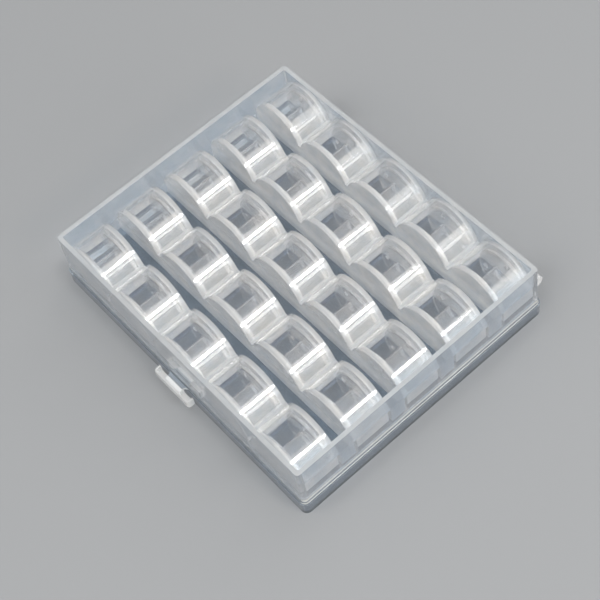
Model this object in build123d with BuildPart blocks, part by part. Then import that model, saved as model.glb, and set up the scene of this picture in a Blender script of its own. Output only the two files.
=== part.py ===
"""A bobbin storage box: a clear lid, a frosted tray of 25 half-round pockets, and 25 empty bobbins.

The box is closed and lies on its lid, so the tray's pockets arch upwards. The origin is the middle of the
footprint, on the surface that the lid rests on. +X runs along the rows of five, and the hinge is on the +Y side.
"""

import os

from build123d import *

# Pocket grid
COLUMNS = 5
ROWS = 5
PITCH_X = 24.1
PITCH_Y = 21.0

# Tray: the skirt at its open edge, and its moulding draft in degrees
TRAY_LENGTH = 123.0
TRAY_WIDTH = 102.0
SKIRT_TAPER = 1.0
TRAY_CORNER = 1.5
INNER_CORNER = 0.7
SKIRT_WALL = 1.85
BOX_HEIGHT = 25.3
PARTING_Z = 6.1
BEAD_OUT = 0.35
BEAD_HEIGHT = 1.0
SPIGOT_INSET = 0.8
SPIGOT_WALL = 1.0
SPIGOT_DEPTH = 1.8

# Deck and pockets
DECK_Z = 8.3
DECK = 1.2
POCKET_AXIS_Z = 13.2
POCKET_RADIUS = 12.0
POCKET_WALL = 1.05
POCKET_END_WALL = 1.1
POCKET_INNER_WIDTH = 13.1
VALLEY_Z = 16.6

# Lid
LID_OVERHANG = 0.7
LID_WALL = 1.2
LID_PLATE = 1.3
LID_HEIGHT = 6.0
LID_CHAMFER = 0.4

# Hinges: lugs and a moulded pin on the tray, an open hook on the lid
HINGE_Y = 55.0
HINGE_Z = 7.5
HINGE_END_X = 56.5
LUG_WIDTH = 2.2
LUG_RADIUS = 2.5
LUG_ROOT = 3.0
HOOK_WIDTH = 8.0
HOOK_SIDE_GAP = 0.25
HOOK_RADIUS = 2.6
PIN_RADIUS = 1.3
PIN_PLAY = 0.08
HOOK_MOUTH = 2.1
HOOK_ARM_LOW = 2.6
HOOK_ARM = 3.0
HOOK_ARM_REACH = 6.2

# Latch: finger tab and snap tongue on the tray, catch ridge on the lid
TAB_LENGTH = 17.6
TAB_REACH = 3.9
TAB_LOW_Z = 3.4
TAB_FLOOR = 0.8
TAB_LIP = 0.65
TAB_HEIGHT = 3.3
TAB_CORNER = 1.1
TONGUE_WIDTH = 7.4
TONGUE_FLARE = 1.6
TONGUE_CLEARANCE = 0.3
TONGUE_UNDER_Z = 6.4
TONGUE_TOP_Z = 7.1
TONGUE_BEND_Y = -52.6
TONGUE_END_Z = 6.3
CATCH_LENGTH = 6.0
CATCH_PROUD = 0.35
CATCH_HEIGHT = 0.9
CATCH_Z = 4.8

# Bobbin
BOBBIN_RADIUS = 10.25
BOBBIN_WIDTH = 11.5
FLANGE = 1.2
HUB_RADIUS = 4.0
BORE_RADIUS = 3.0
FLANGE_SIDES = 20
HUB_SIDES = 10
BOBBIN_AXIS_Z = 11.95

# Worked out from the above
DECK_TOP = DECK_Z + DECK
POCKET_INNER_RADIUS = POCKET_RADIUS - POCKET_WALL
POCKET_OUTER_WIDTH = POCKET_INNER_WIDTH + 2 * POCKET_END_WALL
ROW_LENGTH = COLUMNS * PITCH_X
COLUMN_XS = [(i - (COLUMNS - 1) / 2) * PITCH_X for i in range(COLUMNS)]
ROW_YS = [(i - (ROWS - 1) / 2) * PITCH_Y for i in range(ROWS)]
FRONT_Y = -TRAY_WIDTH / 2
BACK_Y = TRAY_WIDTH / 2
LID_FRONT_Y = FRONT_Y - LID_OVERHANG
LID_BACK_Y = BACK_Y + LID_OVERHANG
SPIGOT_Z = PARTING_Z - SPIGOT_DEPTH
TAB_ROOT_Y = LID_FRONT_Y - CATCH_PROUD - TONGUE_CLEARANCE
TONGUE_END_Y = FRONT_Y - TAB_REACH + TAB_LIP
WALL_FRONT_Y = FRONT_Y + SKIRT_WALL / 2
BRACKET_LENGTH = 2 * (LUG_WIDTH + HOOK_SIDE_GAP) + HOOK_WIDTH
BRACKET_LOW_X = HINGE_END_X - BRACKET_LENGTH
HOOK_LOW_X = BRACKET_LOW_X + LUG_WIDTH + HOOK_SIDE_GAP


def box_outline(height, inset):
    """The tray's outline at its open edge, moved in by inset, as a sketch at a height."""
    with BuildSketch(Plane.XY.offset(height)) as outline:
        radius = max(TRAY_CORNER - inset, INNER_CORNER)
        RectangleRounded(TRAY_LENGTH - 2 * inset, TRAY_WIDTH - 2 * inset, radius)
    return outline.sketch


def pocket_row_outside(y):
    """Five half-round arches side by side, with a short web between neighbours."""
    with BuildSketch(Plane.XZ.offset(-y)) as section:
        with Locations(*[(x, POCKET_AXIS_Z) for x in COLUMN_XS]):
            Circle(POCKET_RADIUS)
        with Locations((0, DECK_Z)):
            Rectangle(ROW_LENGTH, VALLEY_Z - DECK_Z, align=(Align.CENTER, Align.MIN))
            Rectangle(ROW_LENGTH, DECK_Z, align=(Align.CENTER, Align.MAX), mode=Mode.SUBTRACT)
    return section.sketch


def pocket_row_inside(y):
    """The five bobbin spaces of a row, open towards the lid."""
    with BuildSketch(Plane.XZ.offset(-y)) as section:
        with Locations(*[(x, POCKET_AXIS_Z) for x in COLUMN_XS]):
            Circle(POCKET_INNER_RADIUS)
            Rectangle(2 * POCKET_INNER_RADIUS, POCKET_AXIS_Z - PARTING_Z, align=(Align.CENTER, Align.MAX))
    return section.sketch


def hinge_lug(low_x):
    """Side view of a lug: a round eye on a root that grows out of the tray's back wall."""
    with BuildSketch(Plane.YZ.offset(low_x)) as section:
        with Locations((HINGE_Y, HINGE_Z)):
            Circle(LUG_RADIUS)
        with Locations((HINGE_Y, HINGE_Z + LUG_RADIUS)):
            Rectangle(HINGE_Y - BACK_Y + SKIRT_WALL / 2, LUG_ROOT, align=Align.MAX)
    return section.sketch


def hinge_pin(low_x):
    with BuildSketch(Plane.YZ.offset(low_x)) as section:
        with Locations((HINGE_Y, HINGE_Z)):
            Circle(PIN_RADIUS)
    return section.sketch


def lid_hook(low_x):
    """Side view of the open hook that grips the tray's pin, with its arm from the lid's back wall."""
    with BuildSketch(Plane.YZ.offset(low_x)) as section:
        with Locations((HINGE_Y, HINGE_Z)):
            Circle(HOOK_RADIUS)
        with Locations((LID_BACK_Y - LID_WALL / 2, HOOK_ARM_LOW)):
            Rectangle(HOOK_ARM_REACH, HOOK_ARM, align=Align.MIN)
        with Locations((HINGE_Y, HINGE_Z)):
            Circle(PIN_RADIUS + PIN_PLAY, mode=Mode.SUBTRACT)
            Rectangle(HOOK_MOUTH, 2 * HOOK_RADIUS, align=(Align.CENTER, Align.MIN), mode=Mode.SUBTRACT)
    return section.sketch


def finger_tab(filled):
    """Plan of the finger tab: all of it, or only the lip around its outer edge."""
    with BuildSketch(Plane.XY.offset(TAB_LOW_Z)) as plan:
        with Locations((0, FRONT_Y)):
            RectangleRounded(TAB_LENGTH, 2 * TAB_REACH, TAB_CORNER)
            if not filled:
                Rectangle(TAB_LENGTH - 2 * TAB_LIP, 2 * (TAB_REACH - TAB_LIP), mode=Mode.SUBTRACT)
        with Locations((0, TAB_ROOT_Y)):
            Rectangle(TAB_LENGTH, 3 * TAB_REACH, align=(Align.CENTER, Align.MIN), mode=Mode.SUBTRACT)
    return plan.sketch


def snap_tongue():
    """Side view of the tongue: out of the tray's front wall over the lid's rim, and down to the tab."""
    with BuildSketch(Plane.YZ.offset(-TONGUE_WIDTH / 2)) as section:
        with BuildLine():
            Polyline(
                (WALL_FRONT_Y, TONGUE_TOP_Z),
                (TONGUE_BEND_Y, TONGUE_TOP_Z),
                (TONGUE_END_Y, TONGUE_END_Z),
                (TONGUE_END_Y, TAB_LOW_Z),
                (TAB_ROOT_Y, TAB_LOW_Z),
                (TAB_ROOT_Y, TONGUE_UNDER_Z),
                (WALL_FRONT_Y, TONGUE_UNDER_Z),
                close=True,
            )
        make_face()
    return section.sketch


def tongue_flare():
    """Plan of the tongue's wide root, which meets the tray's bead in two quarter rounds."""
    with BuildSketch(Plane.XY.offset(TONGUE_UNDER_Z)) as plan:
        with Locations((0, FRONT_Y)):
            Rectangle(TONGUE_WIDTH + 2 * TONGUE_FLARE, BEAD_OUT + TONGUE_FLARE, align=(Align.CENTER, Align.MAX))
        for side in (-1, 1):
            with Locations((side * (TONGUE_WIDTH / 2 + TONGUE_FLARE), FRONT_Y - BEAD_OUT - TONGUE_FLARE)):
                Circle(TONGUE_FLARE, mode=Mode.SUBTRACT)
    return plan.sketch


def catch_ridge():
    """Front view of the ridge on the lid that the finger tab clips under."""
    with BuildSketch(Plane.XZ.offset(-LID_FRONT_Y - LID_WALL / 2)) as front:
        with Locations((0, CATCH_Z)):
            Rectangle(CATCH_LENGTH, CATCH_HEIGHT, align=(Align.CENTER, Align.MIN))
    return front.sketch


def make_lid():
    """Shallow tub with a rounded outer edge, a catch ridge and two hooks."""
    with BuildPart() as lid:
        extrude(box_outline(0, -LID_OVERHANG), amount=LID_HEIGHT)
        chamfer(lid.faces().sort_by(Axis.Z)[0].edges(), LID_CHAMFER)
        extrude(box_outline(LID_PLATE, LID_WALL - LID_OVERHANG), amount=LID_HEIGHT, mode=Mode.SUBTRACT)
        extrude(catch_ridge(), amount=LID_WALL / 2 + CATCH_PROUD)
        for low_x in (HOOK_LOW_X, -HOOK_LOW_X - HOOK_WIDTH):
            extrude(lid_hook(low_x), amount=HOOK_WIDTH)
    lid.part.label = "lid"
    export_step(lid.part, "parts/lid.step")


def make_tray():
    """The pocket tray, moulded in one."""
    with BuildPart() as tray:
        # Leaning skirt, with a bead and a spigot at its open edge
        extrude(box_outline(PARTING_Z, 0), amount=BOX_HEIGHT - PARTING_Z, taper=SKIRT_TAPER)
        extrude(box_outline(PARTING_Z, -BEAD_OUT), amount=BEAD_HEIGHT)
        extrude(box_outline(SPIGOT_Z, SPIGOT_INSET), amount=PARTING_Z + BEAD_HEIGHT - SPIGOT_Z)
        extrude(
            box_outline(SPIGOT_Z, SPIGOT_INSET + SPIGOT_WALL),
            amount=DECK_Z - SPIGOT_Z,
            mode=Mode.SUBTRACT,
        )
        extrude(box_outline(DECK_TOP, SKIRT_WALL), amount=BOX_HEIGHT - DECK_TOP, mode=Mode.SUBTRACT)
        # Pockets
        for y in ROW_YS:
            extrude(pocket_row_outside(y), amount=POCKET_OUTER_WIDTH / 2, both=True)
        for y in ROW_YS:
            extrude(pocket_row_inside(y), amount=POCKET_INNER_WIDTH / 2, both=True, mode=Mode.SUBTRACT)
        # Hinge brackets
        for low_x in (BRACKET_LOW_X, -HINGE_END_X):
            for lug_x in (low_x, low_x + BRACKET_LENGTH - LUG_WIDTH):
                extrude(hinge_lug(lug_x), amount=LUG_WIDTH)
            extrude(hinge_pin(low_x), amount=BRACKET_LENGTH)
        # Finger tab on its snap tongue
        extrude(finger_tab(filled=True), amount=TAB_FLOOR)
        extrude(finger_tab(filled=False), amount=TAB_HEIGHT)
        extrude(snap_tongue(), amount=TONGUE_WIDTH)
        extrude(tongue_flare(), amount=TONGUE_TOP_Z - TONGUE_UNDER_Z)
    tray.part.label = "tray"
    export_step(tray.part, "parts/tray.step")


def bobbin_ring(y, x, radius, sides):
    """A many-sided disc's outline, square to the bobbin's axis."""
    with BuildSketch(Plane.XZ.offset(-y)) as section:
        with Locations((x, BOBBIN_AXIS_Z)):
            RegularPolygon(radius, sides)
    return section.sketch


def make_bobbin(name, x, y):
    """Two flanges on a hollow hub. There are many of them, so their round faces are many-sided."""
    low_y = y - BOBBIN_WIDTH / 2
    high_y = y + BOBBIN_WIDTH / 2
    with BuildPart() as bobbin:
        extrude(bobbin_ring(low_y, x, BOBBIN_RADIUS, FLANGE_SIDES), amount=-FLANGE)
        extrude(bobbin_ring(high_y, x, BOBBIN_RADIUS, FLANGE_SIDES), amount=FLANGE)
        extrude(bobbin_ring(low_y, x, HUB_RADIUS, HUB_SIDES), amount=-BOBBIN_WIDTH)
        extrude(bobbin_ring(low_y, x, BORE_RADIUS, HUB_SIDES), amount=-BOBBIN_WIDTH, mode=Mode.SUBTRACT)
    bobbin.part.label = name
    export_step(bobbin.part, f"parts/{name}.step")


os.makedirs("parts", exist_ok=True)
make_lid()
make_tray()
for row, row_y in enumerate(ROW_YS, start=1):
    for column, column_x in enumerate(COLUMN_XS, start=1):
        make_bobbin(f"bobbin_r{row}_c{column}", column_x, row_y)
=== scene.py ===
"""Looks for the bobbin storage box: milky tray, clear lid and 25 clear bobbins, on a plain pale floor."""

from math import radians

import bmesh
import bpy
from mathutils import Matrix, Vector


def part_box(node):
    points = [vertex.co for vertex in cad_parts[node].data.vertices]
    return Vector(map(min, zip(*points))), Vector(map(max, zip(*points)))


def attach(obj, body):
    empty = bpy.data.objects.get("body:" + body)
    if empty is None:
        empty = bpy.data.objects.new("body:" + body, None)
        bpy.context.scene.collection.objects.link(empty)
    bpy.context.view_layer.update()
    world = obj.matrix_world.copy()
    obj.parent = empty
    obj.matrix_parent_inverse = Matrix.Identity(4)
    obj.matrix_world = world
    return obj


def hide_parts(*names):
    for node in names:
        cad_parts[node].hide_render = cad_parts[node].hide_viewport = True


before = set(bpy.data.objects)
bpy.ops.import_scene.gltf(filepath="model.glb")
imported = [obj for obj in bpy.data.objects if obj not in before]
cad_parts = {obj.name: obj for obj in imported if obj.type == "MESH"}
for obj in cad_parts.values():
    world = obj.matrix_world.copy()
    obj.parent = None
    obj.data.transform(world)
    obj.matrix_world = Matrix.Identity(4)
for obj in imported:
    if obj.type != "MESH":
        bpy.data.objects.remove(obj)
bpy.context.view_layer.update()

MM = 0.001  # a millimetre in metres; sizes are in millimetres unless a comment says otherwise

# Tray
PITCH_X = 24.1  # from one column of pockets to the next
PITCH_Y = 21.0  # from one row of pockets to the next
ROWS = range(-2, 3)
POCKET_INNER = 6.55  # half of a pocket's length inside
POCKET_OUTER = 7.65  # half of a pocket's length outside
POCKET_AXIS_Z = 13.2
POCKET_RADIUS = 12.0
VALLEY_Z = 16.6  # where two arches of a row run together
ARCH_FOOT_Z = VALLEY_Z + 0.3  # the arches' own finishes start just above the valleys
DECK_TOP_Z = 9.5
DECK_FOOT_Z = 8.0
MOUTH_TOP_Z = 11.2  # upper end of the finish in the pockets' mouths
WINDOW_HALF = 5.9  # half of the length of the clear window in an arch
FLANK_FROM = 6.2  # how far from the crown of an arch its flanks begin
CLEAR_Z = 19.0  # height at which a standing wall is at its clearest
BOX_TOP_Z = 25.3
RIM_DEPTH = 0.35
SEAM_Z = 8.3  # top of the band that the bead and the foot of the skirt make
SKIRT_X, SKIRT_Y = 59.5, 49.1  # from here outwards is skirt
OUTSIDE_X, OUTSIDE_Y = 60.6, 50.1  # from here outwards is the skirt's outer face
TAB_Y = 51.6  # past the skirt: the finger tab in front and the hinge lugs behind
MARGIN_Y = 49.0  # no margin of an arch lies further out than this
SLACK = 0.05
DECK_SLACK = 0.1
ARCH_SLACK = 0.15

# Bobbin
FLANGE_RADIUS = 10.25
HALF_WIDTH = 5.75
FLANGE = 1.2
HUB_RADIUS = 3.6
BORE_RADIUS = 3.0
HOLE_WIDTH = 2.0
HOLE_RADIUS = 7.2  # from the bobbin's axis to the middle of a thread hole
HOLE_ANGLES = (0, 120, 240)
HOLE_REACH = 0.55 * HOLE_WIDTH
SPIN_STEPS = 48
TURN_STEP = 37  # degrees from one bobbin to the next, so that their thread holes don't line up
TURN_LIMIT = 120  # a bobbin looks the same after a third of a turn

# Rounded edges
ARCH_END_ROUND = 0.4
EDGE_ROUND = 0.22
RIM_ROUND = 0.35

# How much of a face's normal points along an axis, from 0 to 1
ALONG_ARCH = 0.1
LID_STANDING = 0.2
STANDING = 0.3
ARCH_LEAN = 0.5
LEVEL = 0.7
MARGIN_LEAN = 0.8
END_ON = 0.9
LID_LEVEL = 0.96

# Meshes
WELD = 0.004
FINE_WELD = 0.001
LEVEL_ANGLE = radians(0.6)
SHARP_ANGLE = radians(28)
CREASE_ANGLE = radians(50)

# Plastics. Polystyrene's own IOR is 1.59. The 1.5 here is lower, so the clear pieces mirror a little less.
POLYPROPYLENE_IOR = 1.49
POLYSTYRENE_IOR = 1.5
POLISH = 0.045  # roughness of the gloss on top
CLOUD_SPAN = (0.3, 0.7)  # the part of the cloud's noise that roughness follows
ROUGHNESS_SPAN = (0.9, 1.15)
TONE_SPAN = (0.74, 1.26)  # the part of cloud and marks together that colour follows
# Marks left by the flow of the plastic and by wear are drawn 3.2 mm long and 9 times narrower, 0.36 mm. Real
# ones are taken to be a few hundredths of a millimetre wide, which is too fine to show.
MARK_LENGTH = 3.2
MARK_NARROWER = 9.0
MARK_SLANT = radians(28)
MARK_DEPTH = 0.2  # at full strength
LOW_TINT, HIGH_TINT = 6, 7  # sockets of a Mix node that mixes colours

# Floor, lights and camera, in metres
FLOOR_HALF = 1.6
FLOOR_Z = -0.15 * MM
BOX_MIDDLE = Vector((0, 0, 0.02))
CAMERA_PLACE = Vector((231.90, -136.56, 418.08)) * MM
CAMERA_RIGHT = Vector((0.65537, 0.74577, -0.11963))
CAMERA_UP = Vector((-0.59600, 0.60791, 0.52462))
CAMERA_LENS = 88.6


def linear(code):
    """Linear colour from an sRGB hex value."""
    channels = [int(code[i : i + 2], 16) / 255 for i in (1, 3, 5)]
    return [c / 12.92 if c <= 0.04045 else ((c + 0.055) / 1.055) ** 2.4 for c in channels] + [1.0]


def add(tree, kind, inputs=None, **settings):
    """Adds a node with its settings. Each input takes a plain value, or another node's output to link."""
    node = tree.nodes.new(kind)
    for name, value in settings.items():
        setattr(node, name, value)
    for socket, value in (inputs or {}).items():
        if isinstance(value, bpy.types.NodeSocket):
            tree.links.new(value, node.inputs[socket])
        else:
            node.inputs[socket].default_value = value
    return node


def empty_material(name):
    material = bpy.data.materials.new(name)
    material.use_nodes = True
    material.node_tree.nodes.clear()
    return material, material.node_tree


def moulded_plastic(name, low, high, clear, roughness, ior, cloud, coat, shadow, marks, foot=None):
    """Injection-moulded plastic that light goes through.

    The cloud in the melt and the flow marks take the colour from low to high. clear is how much light goes
    through, and foot how much does at the deck, for a wall that gets milkier down there. cloud is its size in
    millimetres, shadow the tint of the light that a lamp sends through, and marks the strength of the marks.
    """
    material, tree = empty_material(name)
    place = add(tree, "ShaderNodeTexCoord").outputs["Object"]

    melt = {"Vector": place, "Scale": 1 / (cloud * MM), "Detail": 4.0, "Roughness": 0.55, "Distortion": 0.6}
    cloudy = add(tree, "ShaderNodeTexNoise", melt, noise_dimensions="3D").outputs["Fac"]

    slant = {"Vector": place, "Rotation": (0.0, 0.0, MARK_SLANT), "Scale": (1.0, MARK_NARROWER, 1.0)}
    slanted = add(tree, "ShaderNodeMapping", slant).outputs["Vector"]
    flow = {"Vector": slanted, "Scale": 1 / (MARK_LENGTH * MM), "Detail": 2.0, "Roughness": 0.6}
    marked = add(tree, "ShaderNodeTexNoise", flow, noise_dimensions="3D").outputs["Fac"]

    both = add(tree, "ShaderNodeMath", {0: cloudy, 1: marked}, operation="ADD").outputs["Value"]
    tone = {"Value": both, "From Min": TONE_SPAN[0], "From Max": TONE_SPAN[1]}
    toned = add(tree, "ShaderNodeMapRange", tone).outputs["Result"]
    tints = {"Factor": toned, LOW_TINT: linear(low), HIGH_TINT: linear(high)}
    colour = add(tree, "ShaderNodeMix", tints, data_type="RGBA").outputs["Result"]

    dullness = {"Value": cloudy, "From Min": CLOUD_SPAN[0], "From Max": CLOUD_SPAN[1]}
    dullness["To Min"] = roughness * ROUGHNESS_SPAN[0]
    dullness["To Max"] = roughness * ROUGHNESS_SPAN[1]
    dull = add(tree, "ShaderNodeMapRange", dullness).outputs["Result"]

    dents = {"Strength": marks, "Distance": MARK_DEPTH * MM, "Height": marked}
    dented = add(tree, "ShaderNodeBump", dents).outputs["Normal"]

    # Less clear towards the deck: the wall thickens there, and on the end walls the milkier foot is also
    # painted light.
    if foot is not None:
        height = add(tree, "ShaderNodeSeparateXYZ", {"Vector": place}).outputs["Z"]
        thinning_with_painted_light = {"Value": height, "From Min": DECK_TOP_Z * MM, "From Max": CLEAR_Z * MM}
        thinning_with_painted_light["To Min"] = foot
        thinning_with_painted_light["To Max"] = clear
        clear = add(tree, "ShaderNodeMapRange", thinning_with_painted_light).outputs["Result"]

    plastic = {"Base Color": colour, "Roughness": dull, "Normal": dented, "IOR": ior}
    plastic["Transmission Weight"] = clear
    plastic["Coat Weight"] = coat
    plastic["Coat Roughness"] = POLISH
    seen = add(tree, "ShaderNodeBsdfPrincipled", plastic).outputs["BSDF"]
    passed = add(tree, "ShaderNodeBsdfTransparent", {"Color": linear(shadow)}).outputs["BSDF"]
    to_lamp = add(tree, "ShaderNodeLightPath").outputs["Is Shadow Ray"]
    surface = add(tree, "ShaderNodeMixShader", {0: to_lamp, 1: seen, 2: passed}).outputs["Shader"]
    add(tree, "ShaderNodeOutputMaterial", {"Surface": surface})
    return material


# The tray is natural polypropylene, injection moulded smooth: a milky white that light goes through. It is
# one plastic, and its finishes are set place by place, for how clear or how milky it looks there. A cloud in
# the melt is drawn 5 to 8 mm across.
# Several of these finishes carry painted light and shade: the mouths, deck, skirt and lining are painted
# shade, the rim a painted highlight, and the flanks and the feet of the end walls are partly painted light.

# End walls of the pockets: milky, and less clear towards the foot, deep between the rows, where the draft
# makes them thicker. The milkier foot is also painted light, standing in for the light that the translucent
# wall carries down into the shaded gap.
milky_end_walls_painted_light_foot = moulded_plastic(
    "milky_moulded_polypropylene_walls_painted_light_foot",
    low="#d6d9dc",
    high="#e7e5e2",
    clear=0.58,
    roughness=0.18,
    ior=POLYPROPYLENE_IOR,
    cloud=6.0,
    coat=0.5,
    shadow="#fdfdfd",
    marks=0.002,
    foot=0.25,
)

# Ends of each arch, with the end wall standing under them: more plastic to look through, so whiter.
milky_margins = moulded_plastic(
    "milky_moulded_polypropylene_margins",
    low="#eaedef",
    high="#faf7f3",
    clear=0.67,
    roughness=0.10,
    ior=POLYPROPYLENE_IOR,
    cloud=6.0,
    coat=0.8,
    shadow="#fdfdfd",
    marks=0.004,
)

# Flanks of each arch: the eye looks along the wall, so more of the milk shows than at the crown. The whiter
# flank is also painted light, standing in for the light that the wall carries round inside it.
milky_flanks_painted_light = moulded_plastic(
    "milky_moulded_polypropylene_flanks_painted_light",
    low="#eceff1",
    high="#fcf9f4",
    clear=0.77,
    roughness=0.07,
    ior=POLYPROPYLENE_IOR,
    cloud=5.0,
    coat=1.0,
    shadow="#fdfdfd",
    marks=0.050,
)

# Crown of each arch: a wall of about 1 mm seen square on, nearly clear, with a hard white streak of light.
clear_crowns = moulded_plastic(
    "milky_moulded_polypropylene_pockets",
    low="#e6ebf0",
    high="#f8f6f4",
    clear=0.95,
    roughness=0.045,
    ior=POLYPROPYLENE_IOR,
    cloud=6.0,
    coat=1.0,
    shadow="#fdfdfd",
    marks=0.040,
)

# Mouths of the pockets at the deck: painted shade, tinted far beyond the real plastic, so that on a pale
# floor they still show through the arch as a dark blue-grey frame round the bobbin.
painted_shade_mouths = moulded_plastic(
    "clear_moulded_polypropylene_mouths_painted_shade",
    low="#768da9",
    high="#8698af",
    clear=0.96,
    roughness=0.05,
    ior=POLYPROPYLENE_IOR,
    cloud=6.0,
    coat=0.4,
    shadow="#f8f9fa",
    marks=0.004,
)

# Outside of the skirt: clear enough for the pockets behind it to show as pale blocks. Its blue-grey, a shade
# greyer than the arches, is painted shade.
milky_skirt_painted_shade = moulded_plastic(
    "milky_moulded_polypropylene_skirt_painted_shade",
    low="#b2bac2",
    high="#cacacb",
    clear=0.77,
    roughness=0.10,
    ior=POLYPROPYLENE_IOR,
    cloud=8.0,
    coat=0.6,
    shadow="#eff2f4",
    marks=0.006,
    foot=0.62,
)

# Inside of the skirt: the same plastic as the outside, painted a lighter and bluer white. The two faces are a
# lit and a shaded copy of one plastic, and the blue cast is painted shade.
pale_lining_painted_shade = moulded_plastic(
    "milky_moulded_polypropylene_lining_painted_shade",
    low="#c9d7e4",
    high="#e2e7ec",
    clear=0.74,
    roughness=0.10,
    ior=POLYPROPYLENE_IOR,
    cloud=8.0,
    coat=0.6,
    shadow="#eff2f4",
    marks=0.006,
    foot=0.62,
)

# Rounded rim of the skirt: a painted highlight, a white line for the light that the wall carries up and lets
# out at its edge.
rim_painted_highlight = moulded_plastic(
    "milky_moulded_polypropylene_edges_painted_highlight",
    low="#e6e9ea",
    high="#f5f4f2",
    clear=0.52,
    roughness=0.14,
    ior=POLYPROPYLENE_IOR,
    cloud=7.0,
    coat=0.8,
    shadow="#f8f8f8",
    marks=0.003,
)

# Finger tab, tongue and hinge lugs: small, with faces close behind one another, so they look whitest.
milky_tab = moulded_plastic(
    "milky_moulded_polypropylene_tab",
    low="#e2e4e5",
    high="#efedea",
    clear=0.38,
    roughness=0.16,
    ior=POLYPROPYLENE_IOR,
    cloud=6.0,
    coat=0.7,
    shadow="#f2f2f2",
    marks=0.004,
)

# Bead along the foot of the skirt, on the thickest part of the wall: whiter, with a faint straw cast.
warm_bead = moulded_plastic(
    "milky_moulded_polypropylene_bead",
    low="#ece8df",
    high="#f5f1e9",
    clear=0.46,
    roughness=0.18,
    ior=POLYPROPYLENE_IOR,
    cloud=7.0,
    coat=0.8,
    shadow="#f2f2f2",
    marks=0.003,
)

# Deck between the rows: flat and close over the lid. Its blue-grey tint, towards the lid's, is painted shade
# for the deep gaps between the rows.
deck_painted_shade = moulded_plastic(
    "milky_moulded_polypropylene_deck_painted_shade",
    low="#a8b5c1",
    high="#bac4cd",
    clear=0.85,
    roughness=0.10,
    ior=POLYPROPYLENE_IOR,
    cloud=7.0,
    coat=0.6,
    shadow="#f0f2f4",
    marks=0.006,
)

# The lid is clear polystyrene, injection moulded in a polished mould: glassy, with sharp reflections. Its
# blue-grey tint is painted shade, which keeps it dark on a pale floor. Its clouds are drawn 9 to 14 mm wide
# and hardly show.

# Plate of the lid: flat and the clearest, so the tint, a painted shade, is all that shows of it.
lid_plate_painted_shade = moulded_plastic(
    "clear_moulded_polystyrene_lid_plate_painted_shade",
    low="#aebcca",
    high="#b9c5d0",
    clear=0.98,
    roughness=0.04,
    ior=POLYSTYRENE_IOR,
    cloud=14.0,
    coat=0.0,
    shadow="#d6dce1",
    marks=0.003,
)

# Wall of the lid: the eye looks into its height, so it is painted deeper and greyer than the plate, a painted
# shade.
lid_wall_painted_shade = moulded_plastic(
    "clear_moulded_polystyrene_lid_wall_painted_shade",
    low="#b4bbc2",
    high="#c2c7cc",
    clear=0.86,
    roughness=0.06,
    ior=POLYSTYRENE_IOR,
    cloud=9.0,
    coat=0.3,
    shadow="#c0c8d0",
    marks=0.004,
)

# Rounded edges of the lid: a painted highlight, fine white lines for the light that runs inside the plate and
# leaves it here.
lid_edges_painted_highlight = moulded_plastic(
    "clear_moulded_polystyrene_lid_edges_painted_highlight",
    low="#f4f6f8",
    high="#ffffff",
    clear=0.2,
    roughness=0.08,
    ior=POLYSTYRENE_IOR,
    cloud=9.0,
    coat=0.6,
    shadow="#e8ecf0",
    marks=0.003,
)

# Bobbins: clear polystyrene without tint, injection moulded in a polished mould, with glassy flanges and hub.
clear_bobbin = moulded_plastic(
    "clear_moulded_polystyrene_bobbin",
    low="#eff2f5",
    high="#f8f6f4",
    clear=0.94,
    roughness=0.03,
    ior=POLYSTYRENE_IOR,
    cloud=6.0,
    coat=0.0,
    shadow="#fdfdfd",
    marks=0.003,
)

# Rim of each flange: a little rougher than the rest, and painted whiter and less clear as a painted
# highlight, so it shows as a bright frosted ring.
frosted_rim_painted_highlight = moulded_plastic(
    "frosted_moulded_polystyrene_rim_painted_highlight",
    low="#f4f3f2",
    high="#fbfaf8",
    clear=0.72,
    roughness=0.2,
    ior=POLYSTYRENE_IOR,
    cloud=6.0,
    coat=0.0,
    shadow="#fdfdfd",
    marks=0.003,
)

TRAY_FINISHES = [milky_end_walls_painted_light_foot, clear_crowns, milky_skirt_painted_shade, rim_painted_highlight, deck_painted_shade, milky_margins]
TRAY_FINISHES += [warm_bead, milky_flanks_painted_light, painted_shade_mouths, milky_tab, pale_lining_painted_shade]
END_WALL, CROWN, SKIRT, RIM, DECK, MARGIN, BEAD, FLANK, MOUTH, TAB, LINING = range(len(TRAY_FINISHES))

LID_FINISHES = [lid_plate_painted_shade, lid_wall_painted_shade, lid_edges_painted_highlight]
LID_PLATE, LID_WALL, LID_EDGE = range(len(LID_FINISHES))

BOBBIN_FINISHES = [clear_bobbin, frosted_rim_painted_highlight]
GLASSY, FROSTED_HIGHLIGHT = range(len(BOBBIN_FINISHES))


def object_from(shape, name):
    """An object at the origin, in the scene, from a bmesh."""
    mesh = bpy.data.meshes.new(name)
    shape.to_mesh(mesh)
    shape.free()
    piece = bpy.data.objects.new(name, mesh)
    bpy.context.scene.collection.objects.link(piece)
    return piece


def finished_piece(shape, name, finishes, node):
    """A smoothly shaded piece in its finishes, which rides on the node's body and replaces the node."""
    piece = object_from(shape, name)
    mesh = piece.data
    # The node's own normals come along with its mesh, and are wrong once the edges are rounded.
    if "custom_normal" in mesh.attributes:
        mesh.attributes.remove(mesh.attributes["custom_normal"])
    for finish in finishes:
        mesh.materials.append(finish)
    mesh.shade_smooth()
    mesh.set_sharp_from_angle(angle=CREASE_ANGLE)
    weighted = piece.modifiers.new("even_shading", "WEIGHTED_NORMAL")
    weighted.mode = "FACE_AREA"
    weighted.weight = 100
    weighted.keep_sharp = True
    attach(piece, node)
    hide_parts(node)


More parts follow.
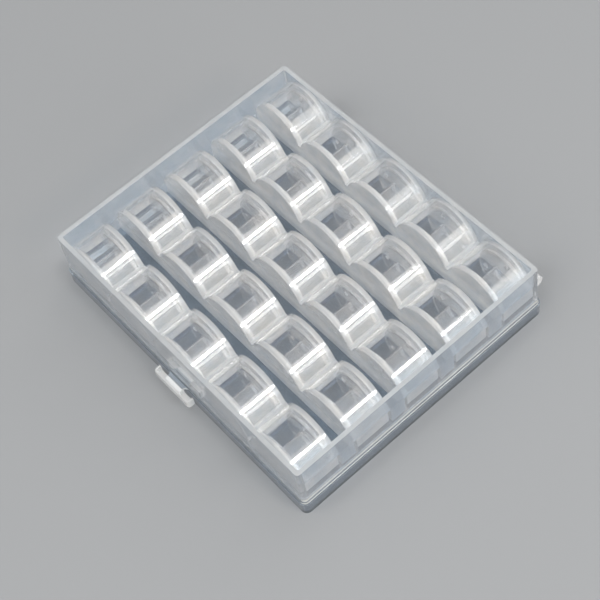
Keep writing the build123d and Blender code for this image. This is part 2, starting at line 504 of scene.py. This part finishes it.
def merged_copy(node):
    """The node's solid, with its triangles joined and its flat faces whole again."""
    shape = bmesh.new()
    shape.from_mesh(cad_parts[node].data)
    bmesh.ops.remove_doubles(shape, verts=shape.verts[:], dist=WELD * MM)
    bmesh.ops.dissolve_limit(
        shape,
        angle_limit=LEVEL_ANGLE,
        use_dissolve_boundaries=False,
        verts=shape.verts[:],
        edges=shape.edges[:],
    )
    return shape


def round_edges(shape, edges, radius, segments):
    bmesh.ops.bevel(
        shape,
        geom=edges,
        offset=radius * MM,
        offset_type="OFFSET",
        affect="EDGES",
        segments=segments,
        profile=0.5,
        material=-1,
        clamp_overlap=True,
    )


def sharp_edges(shape):
    return [edge for edge in shape.edges if edge.is_manifold and edge.calc_face_angle(0) > SHARP_ANGLE]


def cut_faces(shape, faces, place, across):
    """Cuts faces along a plane, so that one finish can end there and another begin."""
    edges = {edge for face in faces for edge in face.edges}
    corners = {vert for face in faces for vert in face.verts}
    parts = faces + list(edges) + list(corners)
    bmesh.ops.bisect_plane(shape, geom=parts, dist=FINE_WELD * MM, plane_co=place, plane_no=across)


def middle_of(face):
    return face.calc_center_median() / MM


def from_row(y):
    """How far y is from the middle of its row of pockets."""
    return abs((y / PITCH_Y + 0.5) % 1 - 0.5) * PITCH_Y


def from_column(x):
    """How far x is from the middle of its column of pockets."""
    return abs((x / PITCH_X + 0.5) % 1 - 0.5) * PITCH_X


def is_arch_end(edge):
    """Whether an edge is the curved one between the outside of an arch and its end wall."""
    middle = (edge.verts[0].co + edge.verts[1].co) / 2 / MM
    from_axis = (from_column(middle.x) ** 2 + (middle.z - POCKET_AXIS_Z) ** 2) ** 0.5
    on_arch = abs(from_axis - POCKET_RADIUS) < ARCH_SLACK and middle.z > VALLEY_Z + SLACK
    on_end = abs(from_row(middle.y) - POCKET_OUTER) < SLACK
    leans = sorted(abs(face.normal.y) for face in edge.link_faces)
    return on_arch and on_end and len(leans) == 2 and leans[0] < ALONG_ARCH and leans[1] > END_ON


def is_in_pocket(spot):
    """Whether a spot is within a pocket's length, and not in a gap between the rows."""
    return from_row(spot.y) < POCKET_INNER + SLACK


def is_outside(spot):
    return abs(spot.x) > OUTSIDE_X or abs(spot.y) > OUTSIDE_Y


def cut_pockets(shape, place, across):
    """Cuts the pockets' faces above the foot of the deck."""
    high = [face for face in shape.faces if middle_of(face).z > DECK_FOOT_Z]
    cut_faces(shape, [face for face in high if is_in_pocket(middle_of(face))], place, across)


def cut_skirt(shape):
    """Cuts the skirt's outer face where the band above the bead ends."""
    outer = []
    for face in shape.faces:
        spot = middle_of(face)
        if abs(face.normal.z) < STANDING and is_outside(spot) and abs(spot.y) < TAB_Y:
            outer.append(face)
    cut_faces(shape, outer, (0, 0, SEAM_Z * MM), (0, 0, 1))


def skirt_finish(spot):
    """Which finish a face of the skirt or of what is moulded on to it gets."""
    if abs(spot.y) > TAB_Y:
        return TAB
    if spot.z > BOX_TOP_Z - RIM_DEPTH:
        return RIM
    if not is_outside(spot):
        return LINING
    return BEAD if spot.z < SEAM_Z else SKIRT


def tray_finish(face):
    """Which finish a face of the tray gets, from its place and the way it faces."""
    spot = middle_of(face)
    if abs(spot.x) > SKIRT_X or abs(spot.y) > SKIRT_Y:
        return skirt_finish(spot)
    if spot.z > ARCH_FOOT_Z and from_row(spot.y) < WINDOW_HALF and abs(face.normal.y) < ARCH_LEAN:
        return FLANK if from_column(spot.x) > FLANK_FROM else CROWN
    if spot.z < MOUTH_TOP_Z and is_in_pocket(spot) and abs(face.normal.z) < STANDING:
        return MOUTH
    if spot.z < DECK_TOP_Z + DECK_SLACK and abs(face.normal.z) > LEVEL:
        return DECK
    if spot.z > ARCH_FOOT_Z and abs(spot.y) < MARGIN_Y and abs(face.normal.y) < MARGIN_LEAN:
        return MARGIN
    return END_WALL


def build_tray():
    shape = merged_copy("tray")
    round_edges(shape, [edge for edge in shape.edges if is_arch_end(edge)], ARCH_END_ROUND, 4)
    round_edges(shape, sharp_edges(shape), EDGE_ROUND, 2)
    for row in ROWS:
        for side in (-1, 1):
            cut_pockets(shape, (0, (row * PITCH_Y + side * WINDOW_HALF) * MM, 0), (0, 1, 0))
    cut_pockets(shape, (0, 0, MOUTH_TOP_Z * MM), (0, 0, 1))
    cut_skirt(shape)
    for face in shape.faces:
        face.material_index = tray_finish(face)
    finished_piece(shape, "tray_shell", TRAY_FINISHES, "tray")


def lid_finish(face):
    """Plate where a face lies flat, wall where it stands, and edge where it does neither."""
    lean = abs(face.normal.z)
    if lean > LID_LEVEL:
        return LID_PLATE
    return LID_WALL if lean < LID_STANDING else LID_EDGE


def build_lid():
    shape = merged_copy("lid")
    round_edges(shape, sharp_edges(shape), EDGE_ROUND, 2)
    for face in shape.faces:
        face.material_index = lid_finish(face)
    finished_piece(shape, "lid_shell", LID_FINISHES, "lid")


def turned_bobbin():
    """Flanges and hollow hub, turned round the Y axis as one closed shape, with rounded rims."""
    inner = HALF_WIDTH - FLANGE
    hole_near = HOLE_RADIUS - HOLE_WIDTH / 2
    hole_far = HOLE_RADIUS + HOLE_WIDTH / 2
    half = [(radius, HALF_WIDTH) for radius in (BORE_RADIUS, hole_near, hole_far, FLANGE_RADIUS)]
    half += [(radius, inner) for radius in (FLANGE_RADIUS, hole_far, hole_near, HUB_RADIUS)]
    profile = half + [(radius, -y) for radius, y in reversed(half)]
    shape = bmesh.new()
    corners = [shape.verts.new((radius * MM, y * MM, 0)) for radius, y in profile]
    edges = [shape.edges.new(pair) for pair in zip(corners, corners[1:] + corners[:1])]
    bmesh.ops.spin(
        shape,
        geom=corners + edges,
        cent=(0, 0, 0),
        axis=(0, 1, 0),
        dvec=(0, 0, 0),
        angle=radians(360),
        steps=SPIN_STEPS,
        use_merge=True,
        use_duplicate=False,
    )
    bmesh.ops.remove_doubles(shape, verts=shape.verts[:], dist=FINE_WELD * MM)
    bmesh.ops.recalc_face_normals(shape, faces=shape.faces[:])
    round_edges(shape, sharp_edges(shape), RIM_ROUND, 2)
    return shape


def bore_hole(shape, hole):
    """Bores a thread hole through a flange: opens both faces, rounds the openings and joins them."""
    near = []
    for face in shape.faces:
        spot = middle_of(face)
        off = Vector((spot.x - hole.x, 0, spot.z - hole.z)).length
        if abs(face.normal.y) > END_ON and abs(spot.y - hole.y) < FLANGE and off < HOLE_REACH:
            near.append(face)
    bmesh.ops.delete(shape, geom=near, context="FACES")
    openings = [edge for edge in shape.edges if edge.is_boundary]
    for vert in {vert for edge in openings for vert in edge.verts}:
        spot = vert.co / MM
        out = Vector((spot.x - hole.x, 0, spot.z - hole.z)).normalized() * HOLE_WIDTH / 2
        vert.co = Vector((hole.x + out.x, spot.y, hole.z + out.z)) * MM
    bmesh.ops.bridge_loops(shape, edges=openings)


def bobbin_shape(centre, turn):
    """A bobbin with its thread holes, laid in its place at its own turn."""
    shape = turned_bobbin()
    for face in shape.faces:
        spot = middle_of(face)
        on_rim = (spot.x**2 + spot.z**2) ** 0.5 > FLANGE_RADIUS - RIM_ROUND
        # Flange rims get the finish with the painted highlight.
        face.material_index = FROSTED_HIGHLIGHT if on_rim else GLASSY
    for side in (-1, 1):
        for angle in HOLE_ANGLES:
            out = Matrix.Rotation(radians(angle), 3, "Y") @ Vector((HOLE_RADIUS, 0, 0))
            bore_hole(shape, Vector((0, side * (HALF_WIDTH - FLANGE / 2), 0)) + out)
    bmesh.ops.recalc_face_normals(shape, faces=shape.faces[:])
    turned = Matrix.Rotation(radians(turn), 3, "Y")
    bmesh.ops.rotate(shape, verts=shape.verts[:], cent=(0, 0, 0), matrix=turned)
    bmesh.ops.translate(shape, verts=shape.verts[:], vec=centre)
    return shape


def build_bobbins():
    nodes = sorted(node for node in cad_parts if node.startswith("bobbin"))
    for count, node in enumerate(nodes):
        low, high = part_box(node)
        shape = bobbin_shape((low + high) / 2, (TURN_STEP * count) % TURN_LIMIT)
        finished_piece(shape, node + "_clear", BOBBIN_FINISHES, node)


def lay_floor():
    """Matt pale board, a hair under the box so that the two don't share a plane."""
    shape = bmesh.new()
    bmesh.ops.create_grid(shape, x_segments=1, y_segments=1, size=FLOOR_HALF)
    bmesh.ops.translate(shape, verts=shape.verts[:], vec=(0, 0, FLOOR_Z))
    floor = object_from(shape, "floor")
    board, tree = empty_material("matt_pale_board")
    matt = add(tree, "ShaderNodeBsdfPrincipled", {"Base Color": linear("#a5a6a7"), "Roughness": 0.7})
    add(tree, "ShaderNodeOutputMaterial", {"Surface": matt.outputs["BSDF"]})
    floor.data.materials.append(board)


def light_room():
    """Even white light, kept low so that the clear plastics don't mirror it as haze."""
    room = bpy.data.worlds.new("soft_room")
    bpy.context.scene.world = room
    room.use_nodes = True
    background = room.node_tree.nodes["Background"]
    background.inputs["Color"].default_value = linear("#ecedee")
    background.inputs["Strength"].default_value = 0.60


def softbox(name, aim, away, width, height, power):
    """A soft rectangular lamp, some metres away in the direction aim, that faces the box."""
    light = bpy.data.lights.new(name, "AREA")
    light.shape = "RECTANGLE"
    light.size = width
    light.size_y = height
    light.energy = power
    lamp = bpy.data.objects.new(name, light)
    bpy.context.scene.collection.objects.link(lamp)
    lamp.location = BOX_MIDDLE + Vector(aim).normalized() * away
    lamp.rotation_mode = "QUATERNION"
    lamp.rotation_quaternion = Vector(aim).to_track_quat("Z", "Y")


def place_camera():
    camera = bpy.data.objects.new("camera", bpy.data.cameras.new("camera"))
    bpy.context.scene.collection.objects.link(camera)
    turn = Matrix((CAMERA_RIGHT, CAMERA_UP, CAMERA_RIGHT.cross(CAMERA_UP))).transposed()
    camera.matrix_world = Matrix.Translation(CAMERA_PLACE) @ turn.to_4x4()
    camera.data.lens = CAMERA_LENS
    camera.data.sensor_width = 36
    camera.data.clip_start = 0.01
    bpy.context.scene.camera = camera
    bpy.context.scene.view_settings.view_transform = "Standard"


build_tray()
build_lid()
build_bobbins()

lay_floor()
light_room()
# The key lamp draws the white streak on each arch, and the low lamp lights the skirt on that side. The fill
# lights the front, and the back lamp keeps the far walls from going dull.
softbox("key_softbox", aim=(0.77, 0.13, 0.585), away=1.6, width=0.70, height=0.27, power=11)
softbox("low_softbox", aim=(0.93, 0.27, 0.27), away=1.6, width=1.3, height=0.55, power=7)
softbox("fill_softbox", aim=(-0.15, -0.85, 0.55), away=1.8, width=1.6, height=0.9, power=14.5)
softbox("back_softbox", aim=(-0.25, 0.92, 0.42), away=1.8, width=1.0, height=0.5, power=4.5)
place_camera()
